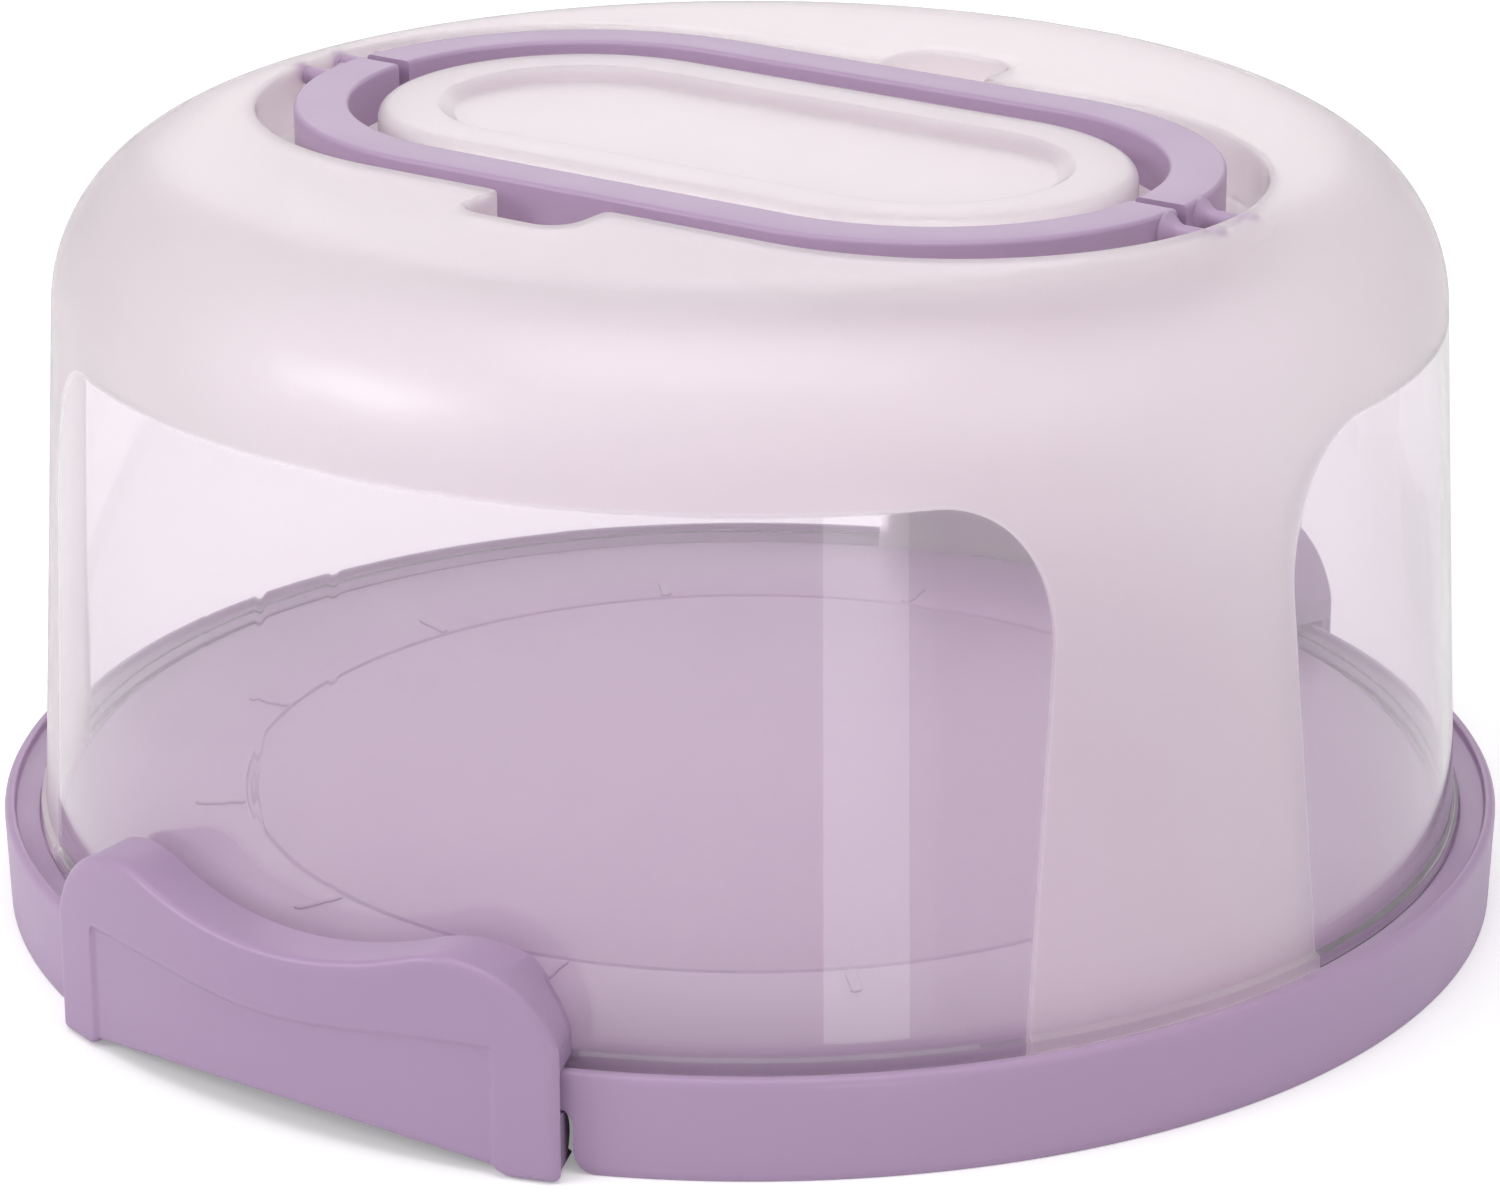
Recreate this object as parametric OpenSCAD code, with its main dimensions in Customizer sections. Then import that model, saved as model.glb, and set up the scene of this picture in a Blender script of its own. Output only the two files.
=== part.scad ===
// Round cake carrier: base tray, dome lid with a folding handle in two halves, two side clips.
// Millimetres, +Z up. Origin: centre of the base tray's underside, on the table.
// The handle's long axis lies along X, the clips stand at -Y and +Y.

/* [Base tray] */
// outer diameter of the tray's rim
base_d = 320; // [290:1:350]
// height of the rim's lip above the table
rim_z = 21.3; // [20:0.1:23]
// width of the rim's raised lip
lip_w = 2.2; // [1.6:0.1:2.6]
// drop from the lip to the sloping ledge
lip_drop = 1.7; // [1.2:0.1:2]
// width of the sloping ledge inside the lip
ledge_w = 5; // [4.6:0.1:5.2]
// fall of the ledge across its width
ledge_fall = 0.7; // [0.3:0.1:1]
// width of the channel that takes the lid's foot
channel_w = 4.6; // [4.2:0.1:6]
// depth of the channel's floor below the rim
channel_drop = 3.8; // [3.3:0.1:4.3]
// depth of the raised cake floor below the rim
floor_drop = 0.7; // [0.1:0.1:1.3]
// radius of the fillet at the edge of the cake floor
floor_fillet = 2.4; // [1:0.1:2.8]
// wall thickness of the tray
tray_wall = 2.2; // [1.8:0.1:2.6]
// radius of the fine ring groove in the cake floor
ring_r = 108; // [80:1:118]
// number of tick marks round the ring
tick_count = 12; // [6:1:16]
// depth of the ring groove and ticks
mark_depth = 0.4; // [0.2:0.1:0.8]
// number of radial ribs under the floor
rib_count = 12; // [6:1:18]
// thickness of the ribs under the floor
rib_t = 1.8; // [1.2:0.1:2.4]
// height of the ribs' lower edges above the table
rib_z = 3; // [1:0.5:6]

/* [Clip bays] */
// how much narrower half a bay is than half a clip
bay_trim = 0.3; // [-1:0.1:0.4]
// distance of a bay's upper edge below the rim
bay_drop = 8; // [7.5:0.1:8.2]
// radius of the skirt's rounded lower corner beside a bay
bay_corner_r = 4.5; // [4:0.1:6]

/* [Dome lid] */
// height of the flat top
lid_top_z = 162; // [130:1:190]
// wall thickness of the dome
lid_wall = 2; // [1.6:0.1:2.2]
// draft angle of the wall
lid_draft = 3.13; // [2:0.01:3.4]
// radius of the large shoulder
shoulder_r = 33; // [30:0.5:34]
// how far the foot bead stands out from the wall
bead_out = 1.1; // [0.6:0.1:1.2]
// height of the straight part of the foot bead
bead_h = 3; // [2:0.1:3.4]

/* [Handle trough] */
// how far the trough's ends reach past the edge of the flat top
trough_end = 1.3; // [-4:0.1:2]
// radius of the trough's round ends
trough_r = 64.5; // [60:0.1:68]
// depth of the trough below the flat top
trough_depth = 13.5; // [13.2:0.1:15]
// wall thickness of the trough and island
trough_wall = 1.8; // [1.4:0.1:2]
// how far the island stands above the flat top
island_rise = 0.3; // [-0.5:0.1:2]
// fillet round the island's top
island_fillet = 3; // [1:0.1:4]
// width of the island's raised rim round its recess
island_rim = 13.9; // [10:0.1:20]
// depth of the recess
recess_depth = 2.5; // [1:0.1:4]
// width of each finger notch beside the trough
notch_w = 29; // [24:0.5:36]
// reach of the finger notches beyond the trough
notch_reach = 15.5; // [13:0.5:20]
// sideways offset of the finger notches
notch_shift = 4; // [0:0.5:8]
// corner radius of the finger notches
notch_r = 6; // [3:0.5:9]

/* [Folding handle] */
// width of the handle's band
handle_w = 11.6; // [10:0.1:13]
// height of the handle's section
handle_h = 11; // [10:0.1:11.2]
// how far the folded handle stands above the flat top
handle_rise = 1; // [0.5:0.1:1.2]
// gap between the two halves at each end
handle_gap = 3.4; // [3.3:0.1:4.4]
// distance of each pivot from the middle line
pivot_y = 6.4; // [6.2:0.1:6.8]
// depth of the pivot pins below the flat top
pivot_drop = 3; // [2.8:0.1:3.2]
// diameter of the pivot pins
pivot_d = 4; // [3.4:0.1:4.2]
// length of a pivot pin inside its socket
pivot_grip = 3.2; // [2:0.1:4]
// wall thickness of the handle's hollow section
handle_wall = 2.4; // [1.8:0.1:3]
// distance from the middle line at which the hollow ends
hollow_end = 16; // [14:0.5:24]
// distance of the handle's rests from the ends of its straight sides
rest_in = 14; // [6:0.5:20]

/* [Side clips] */
// half width of a clip
clip_half = 62; // [61.5:0.1:62.5]
// plan radius of a clip's face
clip_face_r = 180; // [176:1:186]
// how far the middle of a clip's face stands out from the rim
clip_out = 4.3; // [4:0.1:5]
// wall thickness of a clip
clip_wall = 2.6; // [2:0.1:2.8]
// thickness of the clip's top shelf
shelf_t = 2.4; // [1.8:0.1:3]
// height of the wave's middle dip
dip_z = 37; // [35:0.1:40]
// height of the wave's crests
crest_z = 43.8; // [42.5:0.1:46]
// distance of the crests inside the clip's ends
crest_in = 22; // [21.6:0.1:22.4]
// radius of the crests
crest_r = 22.8; // [22.4:0.1:24]
// height of the arch at the clip's lower edge
arch_z = 6.4; // [5.8:0.1:7.5]
// depth of the shallow recess in the clip's face
face_recess = 0.4; // [0.2:0.1:0.8]
// distance of the hinge line inside the rim
hinge_in = 11; // [10.8:0.1:11.2]
// diameter of the clip's hinge pins
hinge_d = 5; // [4:0.1:5.4]
// width of the legs beside the recess in the clip's face
leg_w = 12; // [10:0.5:16]
// radius of the face's rounded lower edge
leg_round = 2.4; // [1:0.1:2.6]
// radius of the cheek round the hinge line
knuckle_r = 5.8; // [5:0.1:5.8]
// width of each hinge lug
lug_w = 5.6; // [4:0.2:6]
// distance of the hinge lugs inside the clip's ends
lug_in = 12.6; // [12.2:0.1:14]

/* [Fits] */
// gap between the lid's foot bead and the channel's outer wall
foot_gap = 0.4; // [0.3:0.05:0.6]
// gap between the lid's foot and the channel's floor
seat_gap = 0.3; // [0.2:0.05:0.4]
// radial gap of the pivot and hinge pins
pin_gap = 0.05; // [0.03:0.01:0.08]
// gap between the clip's hooks and the lid's foot bead
hook_gap = 0.3; // [0.3:0.05:0.8]
// gap under the clip's legs and handle rests
leg_gap = 0.3; // [0.2:0.05:0.6]
// gap between the clip's neck and the rim
neck_gap = 0.5; // [0.4:0.05:0.8]
// gap between the rim's top and the clip's hooks
rim_gap = 0.6; // [0.5:0.05:1]
// gap between a bay's upper edge and the clip's knuckles
knuckle_gap = 0.5; // [0.4:0.05:0.8]
// gap between the folded handle and the trough's long sides
side_gap = 4.2; // [3.6:0.1:5]
// gap between the folded handle and the trough's ends
end_gap = 9.2; // [8.6:0.1:10]
// gap between the folded handle and the island
island_gap = 6; // [4:0.1:8]

/* [Hidden] */
$fn = 96;
eps = 0.01;
base_r = base_d / 2;
lip_in = base_r - lip_w;
ledge_out = lip_in - 0.2;
chan_out = ledge_out - ledge_w;
chan_in = chan_out - channel_w;
ledge_z = rim_z - lip_drop;
channel_z = rim_z - channel_drop;
floor_z = rim_z - floor_drop;
bay_z = rim_z - bay_drop;
bay_half_deg = round(10 * asin((clip_half - bay_trim) / base_r)) / 10;
lid_foot_z = channel_z + seat_gap;
lid_ref_z = rim_z + 0.7;
lid_r = chan_out - foot_gap - bead_out;
sh_z = lid_top_z - shoulder_r;
sh_r = lid_r - (sh_z - lid_ref_z) * tan(lid_draft) - shoulder_r / cos(lid_draft);
bead_r = lid_r + bead_out;
hook_r = bead_r + hook_gap;
hook_z = rim_z + rim_gap;
trough_half = sh_r + trough_end - trough_r;
trough_z = lid_top_z - trough_depth;
handle_r = trough_r - side_gap;
handle_half = trough_half + trough_r - end_gap - handle_r;
handle_top_z = lid_top_z + handle_rise;
island_half = handle_half;
island_r = handle_r - handle_w - island_gap;
island_top_z = lid_top_z + island_rise;
recess_r = island_r - island_rim;
notch_y = trough_r + notch_reach;
pivot_z = lid_top_z - pivot_drop;
pivot_x = handle_half + sqrt(pow(handle_r, 2) - pow(pivot_y, 2));
socket_x = trough_half + sqrt(pow(trough_r, 2) - pow(pivot_y, 2));
handle_z = handle_top_z - handle_h;
clip_cy = clip_face_r - base_r - clip_out;
crest_x = clip_half - crest_in;
hinge_y = base_r - hinge_in;
hinge_z = bay_z - knuckle_gap - knuckle_r;
lug_x = clip_half - lug_in;
cheek_y = clip_cy - sqrt(pow(clip_face_r, 2) - pow(clip_half, 2));
cheek_run = 5 / 12.3;
arch_x = clip_half - 20;
arch_lean = asin(arch_x / 650);
arch_side_z = arch_z - 650 * (1 - cos(arch_lean)) - 12;

// base tray
module tray_profile() {
  difference() {
    union() {
      polygon([[0, 0], [base_r - 0.6, 0], [base_r, rim_z - 1.5], [base_r - 1.5, rim_z],
        [lip_in, rim_z], [ledge_out, ledge_z], [chan_out, ledge_z - ledge_fall],
        [chan_out, channel_z], [chan_in, channel_z], [chan_in - 0.6, floor_z - floor_fillet],
        [chan_in - 0.6 - floor_fillet, floor_z], [0, floor_z]]);
      translate([base_r - 1.5, rim_z - 1.5])
        circle(r = 1.5);
      translate([chan_in - 0.6 - floor_fillet, floor_z - floor_fillet])
        circle(r = floor_fillet);
    }
    polygon([[-1, -1], [base_r - 0.6 - tray_wall, -1], [base_r - tray_wall, ledge_z - tray_wall],
      [ledge_out, ledge_z - tray_wall], [chan_out + tray_wall, channel_z - tray_wall],
      [chan_in - tray_wall, channel_z - tray_wall],
      [chan_in - tray_wall - 2, floor_z - tray_wall], [-1, floor_z - tray_wall]]);
  }
}

module bay_wedge(half, z0, z1) {
  reach = base_r * 1.2;
  translate([0, 0, z0])
    linear_extrude(z1 - z0)
      polygon([[0, 0], [-reach * tan(half), -reach], [reach * tan(half), -reach]]);
}

// one bay: the skirt is cut away behind the clip, with a rounded lower corner at both sides
module bay() {
  corner_deg = asin(bay_corner_r / (base_r - tray_wall));
  difference() {
    union() {
      bay_wedge(bay_half_deg, -1, bay_z);
      difference() {
        bay_wedge(bay_half_deg + corner_deg, -1, bay_corner_r);
        for (s = [-1, 1])
          rotate([0, 0, s * (bay_half_deg + corner_deg)])
            translate([0, 0, bay_corner_r])
              rotate([90, 0, 0])
                cylinder(h = base_r * 1.3, r = bay_corner_r - 0.02);
      }
    }
    cylinder(h = 3 * rim_z, r = base_r - 12.5, center = true);
  }
}

module tick() {
  rotate([0, 0, 24])
    translate([0, 0, floor_z])
      cube([0.9, 7, 2 * mark_depth], center = true);
}

module lug() {
  top = channel_z - 1;
  difference() {
    union() {
      translate([-lug_w / 2, 0, 0])
        rotate([0, 90, 0])
          cylinder(h = lug_w, r = hinge_d / 2 + 1.9);
      translate([-lug_w / 2, -0.9, 0])
        cube([lug_w, hinge_d / 2 + 3, top - hinge_z]);
    }
    translate([-lug_w, 0, 0])
      rotate([0, 90, 0])
        cylinder(h = 2 * lug_w, r = hinge_d / 2 + pin_gap);
  }
}

module base_tray() {
  under_z = floor_z - tray_wall;
  color([0.66, 0.56, 0.69])
  difference() {
    union() {
      difference() {
        rotate_extrude()
          tray_profile();
        for (s = [0, 180])
          rotate([0, 0, s])
            bay();
      }
      for (s = [0, 180])
        rotate([0, 0, s])
          for (x = [-lug_x, lug_x])
            translate([x, -hinge_y, hinge_z])
              lug();
      // ring ribs and radial ribs under the floor
      for (r = [60, base_r - 22])
        translate([0, 0, rib_z])
          difference() {
            cylinder(h = under_z - rib_z + 0.5, r = r);
            translate([0, 0, -1])
              cylinder(h = under_z, r = r - rib_t);
          }
      for (k = [0:rib_count - 1])
        rotate([0, 0, k * 360 / rib_count])
          translate([59, -rib_t / 2, rib_z + 2])
            cube([base_r - 22 - 60, rib_t, under_z - rib_z - 1.3]);
      // walls that close the skirt beside each bay
      for (s = [0, 180])
        for (m = [-1, 1])
          rotate([0, 0, s + m * (bay_half_deg + 2)])
            translate([-1, -base_r + 1.2, bay_corner_r + 0.6])
              cube([2, 21.5, channel_z - bay_corner_r - 1.5]);
    }
    // fine ring groove and slanted ticks in the cake floor
    translate([0, 0, floor_z - mark_depth])
      difference() {
        cylinder(h = 2, r = ring_r + 0.4);
        translate([0, 0, -1])
          cylinder(h = 4, r = ring_r - 0.4);
      }
    for (k = [0:tick_count - 1])
      rotate([0, 0, 15 + k * 360 / tick_count])
        translate([ring_r + 7.5, 0, 0])
          rotate([0, 0, -90])
            tick();
    rotate([0, 0, -43])
      translate([ring_r + 7.5, 0, 0])
        rotate([0, 0, -90])
          tick();
  }
}

// dome lid
module dome_region(t) {
  r = shoulder_r - t;
  z0 = t > 0 ? lid_foot_z - 1 : lid_foot_z;
  foot = lid_r - (z0 - lid_ref_z) * tan(lid_draft) - t / cos(lid_draft);
  polygon([[0, z0], [foot, z0], [sh_r + r * cos(lid_draft), sh_z + r * sin(lid_draft)],
    [sh_r, sh_z], [sh_r, lid_top_z - t], [0, lid_top_z - t]]);
  intersection() {
    translate([sh_r, sh_z])
      circle(r = r);
    translate([sh_r - 1, sh_z - 1])
      square([r + 2, r + 2]);
  }
}

module dome_shell() {
  rotate_extrude()
    difference() {
      union() {
        dome_region(0);
        polygon([[lid_r - 1, lid_foot_z], [bead_r, lid_foot_z], [bead_r, lid_foot_z + bead_h],
          [lid_r - 0.1, lid_foot_z + bead_h + 1.4]]);
      }
      dome_region(lid_wall);
    }
}

// sweeps a profile that is drawn in r and z round a straight-sided oval
module around_oval(half) {
  translate([half, 0, 0])
    rotate([0, 0, -90])
      rotate_extrude(angle = 180)
        children();
  translate([-half, 0, 0])
    rotate([0, 0, 90])
      rotate_extrude(angle = 180)
        children();
  for (s = [0, 180])
    rotate([0, 0, s])
      translate([-half, 0, 0])
        rotate([90, 0, 90])
          linear_extrude(2 * half)
            children();
}

module oval(half, r) {
  for (s = [-1, 1])
    translate([s * half, 0])
      circle(r = r);
  square([2 * half, 2 * r], center = true);
}

module notch_plan(grow) {
  w = notch_w + 2 * grow;
  r = notch_r + grow;
  reach = notch_y + grow;
  translate([-notch_shift, 0])
    union() {
      translate([-w / 2, -reach + r])
        square([w, reach - r - trough_r + notch_reach]);
      translate([-w / 2 + r, -reach])
        square([w - 2 * r, r + 1]);
      for (s = [-1, 1])
        translate([s * (w / 2 - r), -reach + r])
          circle(r = r);
    }
}

module island_profile() {
  t = trough_wall;
  top = island_top_z;
  low = top - recess_depth;
  difference() {
    union() {
      polygon([[0, trough_z - t], [island_r, trough_z - t], [island_r, top - island_fillet],
        [island_r - island_fillet, top], [recess_r + 1.2, top], [recess_r, top - 1.2],
        [recess_r - recess_depth + 1.2, low], [0, low]]);
      translate([island_r - island_fillet, top - island_fillet])
        circle(r = island_fillet);
    }
    polygon([[-1, trough_z - t - 1], [island_r - t, trough_z - t - 1],
      [island_r - t, top - island_fillet], [island_r - island_fillet, top - t],
      [recess_r + 2.2, top - t], [recess_r + 0.6, low - t], [-1, low - t]]);
  }
}

module dome_lid() {
  t = trough_wall;
  color([0.93, 0.91, 0.92])
  union() {
    difference() {
      union() {
        dome_shell();
        intersection() {
          union() {
            translate([0, 0, trough_z - t])
              linear_extrude(lid_top_z - trough_z + t)
                oval(trough_half, trough_r + t);
            for (s = [0, 180])
              rotate([0, 0, s])
                translate([0, 0, trough_z - t + 1])
                  linear_extrude(lid_top_z - trough_z + t - 1)
                    notch_plan(t);
            // pivot bosses under the top
            for (x = [-1, 1])
              for (y = [-1, 1])
                translate([x * (socket_x + pivot_grip / 2 + 1.2) - pivot_grip / 2 - 1.4,
                  y * pivot_y - pivot_d / 2 - 2, pivot_z - pivot_d / 2 - 2.2])
                  cube([pivot_grip + 2.8, pivot_d + 4, 12]);
          }
          rotate_extrude()
            dome_region(0);
        }
      }
      translate([0, 0, trough_z])
        linear_extrude(30)
          oval(trough_half, trough_r);
      for (s = [0, 180])
        rotate([0, 0, s])
          translate([0, 0, trough_z + 1])
            linear_extrude(30)
              notch_plan(0);
      for (y = [-pivot_y, pivot_y])
        translate([-socket_x - pivot_grip - 0.4, y, pivot_z])
          rotate([0, 90, 0])
            cylinder(h = 2 * (socket_x + pivot_grip + 0.4), r = pivot_d / 2 + pin_gap);
      // the island is hollow from below
      translate([0, 0, trough_z - 4])
        linear_extrude(8)
          oval(island_half, island_r - t);
    }
    around_oval(island_half)
      island_profile();
    // rests for the folded handle
    for (x = [-handle_half + rest_in, handle_half - rest_in])
      for (y = [-1, 1])
        translate([x - 3, y * (handle_r - handle_w / 2) - 2, trough_z - 0.5])
          cube([6, 4, handle_z - leg_gap - trough_z + 0.5]);
  }
}

// folding handle, front half; the rear half is the same moulding turned round
module handle_plan(grow) {
  difference() {
    oval(handle_half, handle_r - grow);
    oval(handle_half, handle_r - handle_w + grow);
  }
}

module half_plan() {
  translate([-base_r, -base_r])
    square([base_r, base_r]);
  translate([-eps, -base_r])
    square([base_r, base_r - handle_gap]);
}

module handle_half_solid() {
  union() {
    difference() {
      translate([0, 0, handle_z])
        linear_extrude(handle_h)
          intersection() {
            handle_plan(0);
            half_plan();
          }
      // the section is hollow from below, with cross ribs
      translate([0, 0, handle_z - 1])
        linear_extrude(handle_h - handle_wall + 1)
          difference() {
            handle_plan(handle_wall);
            translate([-base_r, -hollow_end])
              square([base_d, base_d]);
            for (x = [-1, -0.5, 0, 0.5, 1])
              translate([x * handle_half - 0.8, -base_r])
                square([1.6, base_r]);
            for (x = [-1, 1])
              translate([x * (handle_half + 20) - 0.8, -base_r])
                square([1.6, base_r]);
          }
    }
    for (s = [-1, 1])
      translate([s * (pivot_x - 1.5), -pivot_y, pivot_z])
        rotate([0, s * 90, 0]) {
          cylinder(h = socket_x - pivot_x + 1.5 + pivot_grip, r = pivot_d / 2);
          cylinder(h = 4.5, r1 = pivot_d / 2 + 2, r2 = pivot_d / 2);
        }
  }
}

module handle_front() {
  color([0.74, 0.66, 0.76])
    handle_half_solid();
}

module handle_rear() {
  color([0.74, 0.66, 0.76])
    rotate([0, 0, 180])
      handle_half_solid();
}

// side clip, front one
function wave_sum(dx, dz) = (dx * dx + dz * dz) / (2 * dz);
function arc(x, z, r, a0, a1, n) =
  [for (i = [0:n]) [x + r * cos(a0 + (a1 - a0) * i / n), z + r * sin(a0 + (a1 - a0) * i / n)]];

// a wavy top edge made of two crest arcs and one dip arc that meet smoothly
module wave_region(half, cx, cz, cr, dz, low) {
  dr = wave_sum(cx, cz - dz) - cr;
  meet = atan2(dz + dr - cz + cr, -cx);
  side = acos(min(1, (half - cx) / cr));
  polygon(concat(
    [[cx + cr * cos(side), low]],
    arc(cx, cz - cr, cr, side, meet, 28),
    arc(0, dz + dr, dr, meet - 180, -meet, 18),
    arc(-cx, cz - cr, cr, 180 - meet, 180 - side, 28),
    [[-cx - cr * cos(side), low]]));
}

module clip_region(drop) {
  difference() {
    wave_region(base_r, crest_x, crest_z - drop, crest_r - drop, dip_z - drop, -4);
    if (drop == 0)
      polygon(concat(
        arc(-arch_x, arch_side_z, 12, 200, 90.3 + arch_lean, 10),
        arc(0, arch_z - 650, 650, 90 + arch_lean, 90 - arch_lean, 12),
        arc(arch_x, arch_side_z, 12, 89.7 - arch_lean, -20, 10)));
  }
}

// plan of the clip, inset by t from its face and by e from its ends
module clip_plan(t, e) {
  yo = cheek_y;
  intersection() {
    translate([0, clip_cy])
      circle(r = clip_face_r - t, $fn = 360);
    polygon([[-clip_half + e, yo], [-clip_half + e - 8 * cheek_run, yo - 8],
      [-clip_half - 8 * cheek_run, yo - 20], [clip_half + 8 * cheek_run, yo - 20],
      [clip_half - e + 8 * cheek_run, yo - 8], [clip_half - e, yo],
      [clip_half - e - 30 * cheek_run, yo + 30], [-clip_half + e + 30 * cheek_run, yo + 30]]);
  }
}

module clip_solid() {
  inset = clip_wall / cos(atan(cheek_run));
  neck_y = sqrt(pow(base_r, 2) - pow(clip_half - clip_wall - 2, 2)) + neck_gap;
  union() {
    difference() {
      intersection() {
        translate([0, 0, leg_gap])
          linear_extrude(80)
            clip_plan(0, 0);
        translate([0, -base_r / 2, 0])
          rotate([90, 0, 0])
            linear_extrude(base_r)
              clip_region(0);
        // rounded lower edge of the face
        translate([0, clip_cy, 0])
          rotate_extrude($fn = 360) {
            translate([clip_face_r / 2, leg_gap])
              square([clip_face_r / 2 - leg_round, 2 * crest_z]);
            translate([clip_face_r / 2, leg_gap + leg_round])
              square([clip_face_r / 2, 2 * crest_z]);
            translate([clip_face_r - leg_round, leg_gap + leg_round])
              circle(r = leg_round, $fn = 48);
          }
      }
      // inside of the clip
      intersection() {
        translate([0, 0, -5])
          linear_extrude(90)
            clip_plan(clip_wall, inset);
        translate([0, -base_r / 2, 0])
          rotate([90, 0, 0])
            linear_extrude(base_r)
              clip_region(shelf_t);
      }
      // clear of the lid
      translate([0, 0, -5])
        cylinder(h = 90, r = hook_r, $fn = 360);
      // notch round the rim and round the hinge line
      translate([-base_r / 2, 0, 0])
        rotate([90, 0, 90])
          linear_extrude(base_r)
            difference() {
              translate([-neck_y, -1])
                square([60, hook_z + 1]);
              translate([-hinge_y, hinge_z])
                circle(r = knuckle_r);
            }
      // shallow recess in the face
      difference() {
        translate([0, -base_r / 2, 0])
          rotate([90, 0, 0])
            linear_extrude(base_r)
              wave_region(clip_half - leg_w, crest_x + 1, crest_z - 16.4, 14, dip_z - 12.7, -4);
        translate([0, clip_cy, -5])
          cylinder(h = 90, r = clip_face_r - face_recess, $fn = 360);
      }
    }
    // stiffening ribs under the shelf
    difference() {
      intersection() {
        union()
          for (x = [-crest_x + 12, crest_x - 12])
            translate([x - 0.8, -base_r - clip_out, hook_z + 3.6])
              cube([1.6, 30, 30]);
        translate([0, 0, 1])
          linear_extrude(80)
            clip_plan(clip_wall / 2, inset);
        translate([0, -base_r / 2, 0])
          rotate([90, 0, 0])
            linear_extrude(base_r)
              clip_region(shelf_t / 2);
      }
      translate([0, 0, -5])
        cylinder(h = 90, r = hook_r, $fn = 360);
    }
    for (s = [-1, 1])
      translate([s * (clip_half - 3), -hinge_y, hinge_z])
        rotate([0, -s * 90, 0])
          cylinder(h = clip_half - 3 - lug_x + lug_w / 2 + 0.8, r = hinge_d / 2);
  }
}

module clip_front() {
  color([0.68, 0.58, 0.71])
    clip_solid();
}

module clip_rear() {
  color([0.68, 0.58, 0.71])
    rotate([0, 0, 180])
      clip_solid();
}

base_tray();
dome_lid();
handle_front();
handle_rear();
clip_front();
clip_rear();
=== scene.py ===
import math

import bmesh
import bpy
import numpy as np
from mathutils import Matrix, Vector

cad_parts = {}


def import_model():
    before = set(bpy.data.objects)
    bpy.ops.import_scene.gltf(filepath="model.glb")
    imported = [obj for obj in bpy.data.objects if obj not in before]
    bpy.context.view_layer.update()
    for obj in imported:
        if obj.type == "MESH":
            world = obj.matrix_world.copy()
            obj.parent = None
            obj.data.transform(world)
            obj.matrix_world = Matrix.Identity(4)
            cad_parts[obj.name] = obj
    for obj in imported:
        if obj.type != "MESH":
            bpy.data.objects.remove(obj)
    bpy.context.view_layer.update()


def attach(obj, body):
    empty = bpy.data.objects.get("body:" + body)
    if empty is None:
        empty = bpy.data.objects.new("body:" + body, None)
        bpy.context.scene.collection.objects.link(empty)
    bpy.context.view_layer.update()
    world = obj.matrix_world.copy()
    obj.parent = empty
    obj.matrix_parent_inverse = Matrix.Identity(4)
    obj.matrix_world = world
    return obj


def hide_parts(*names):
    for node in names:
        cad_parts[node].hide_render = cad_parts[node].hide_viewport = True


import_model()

# Sizes in millimetres, as the solids have them. Three differ, after the photograph: the finger notches
# are 3 mm narrower, the clips' lower arc is longer, and the floor's ring is 0.15 mm deeper.

# Tray: outer radius and rim, the lip, the ledge and the channel for the lid's foot, the cake floor
BASE_R, RIM_Z, LIP_IN = 160.0, 21.3, 157.8
LEDGE_OUT, LEDGE_Z, LEDGE_LOW = 157.6, 19.6, 18.9
CHAN_OUT, CHAN_IN, CHANNEL_Z = 152.6, 148.0, 17.5
FLOOR_Z, FLOOR_UNDER, TRAY_WALL = 20.6, 18.4, 2.2
RING_IN, RING_OUT, RING_DEPTH = 107.2, 108.8, 0.55
STROKE_R, STROKE_RUN, STROKES = 114.4, 4.1, 12
BAY_DEG, BAY_Z, BAY_CORNER = 22.7, 13.3, 4.5
RIB_RINGS, RIB_TOP, RIB_HALF = (60.0, 138.0), 18.45, 0.9
LUG_X, LUG_HALF, EYE_R = 49.4, 2.8, 4.4

# Dome lid: wall, shoulder and foot, the trough for the handle, the island with its recess, the notches
LID_R, LID_TOP, LID_WALL, DRAFT, SHOULDER = 151.1, 162.0, 2.0, math.radians(3.13), 33.0
SH_Z = LID_TOP - SHOULDER
SH_R = LID_R - (SH_Z - 22) * math.tan(DRAFT) - SHOULDER / math.cos(DRAFT)
FOOT_Z, BEAD_R, TOP_R = 17.8, 152.2, 117.0
TROUGH_HALF, TROUGH_R, TROUGH_Z, TROUGH_WALL = 49.0, 64.5, 148.5, 1.8
ISLAND_HALF, ISLAND_R, ISLAND_TOP, RECESS_R, RECESS_Z = 44.0, 42.7, 162.3, 28.8, 159.8
NOTCH_HALF, NOTCH_Y, NOTCH_SHIFT, NOTCH_R = 13.0, 80.0, 2.5, 6.5

# Clear windows: azimuth of one middle, radius of the wall, half width at z = 0 and its growth,
# the corner's width and height and the height at which it starts
WINDOW_AZ, WINDOW_R = 279, 147
WINDOW_HALF, WINDOW_SPREAD = 117.4, 0.075
CORNER_W, CORNER_H, CORNER_Z = 26, 31, 97

# Handle: half length and radius of its oval, section, gap between the halves, hollow, pivot pins
HANDLE_HALF, HANDLE_R, HANDLE_W, HANDLE_Z, HANDLE_TOP, HANDLE_GAP = 44.0, 60.3, 11.6, 152.0, 163.0, 3.4
HOLLOW_Y = -16
PIVOT_Y, PIVOT_Z, PIVOT_R = 6.4, 159.0, 2.0

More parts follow.
